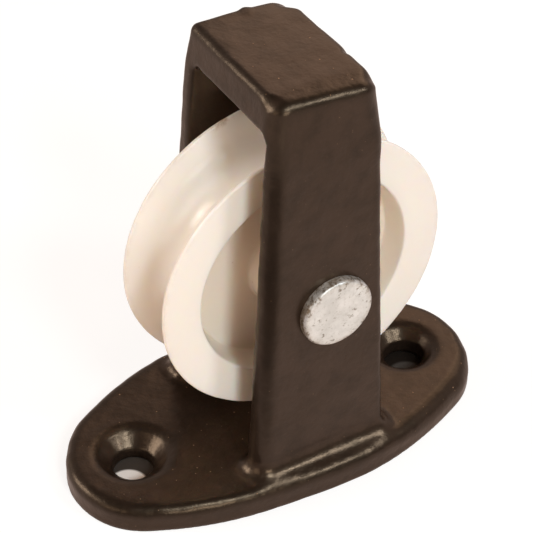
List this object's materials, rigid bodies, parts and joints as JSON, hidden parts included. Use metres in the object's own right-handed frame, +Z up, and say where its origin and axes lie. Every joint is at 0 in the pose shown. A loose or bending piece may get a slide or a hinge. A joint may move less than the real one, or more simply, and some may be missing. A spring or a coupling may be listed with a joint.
{
  "type": "single sheave block",
  "caption": "Upright rope block: an oval screw-down base with a square bridge cast in one piece, a grooved sheave turning between the legs on a headed rivet.",
  "frame": {"origin": "centre of the base plate's underside", "axes": "+X along the base plate and the rope, +Y along the axle away from the rivet's head, +Z up out of the mounting face"},
  "size_m": [0.076, 0.039, 0.0753],
  "materials": {
    "painted_casting": "dark brown-black satin paint over a slightly uneven casting",
    "ivory_nylon": "smooth ivory nylon with a soft sheen",
    "plated_steel": "pale zinc plating, worn and speckled on the head"
  },
  "bodies": {
    "frame": {"frame": "painted_casting", "axle_rivet": "plated_steel"},
    "sheave": {"sheave": "ivory_nylon"}
  },
  "joints": [
    {"name": "sheave_spin", "type": "hinge", "parent": "frame", "child": "sheave", "pos_m": [0.0018, 0, 0.0363], "axis": [0, 1, 0], "continuous": true}
  ]
}
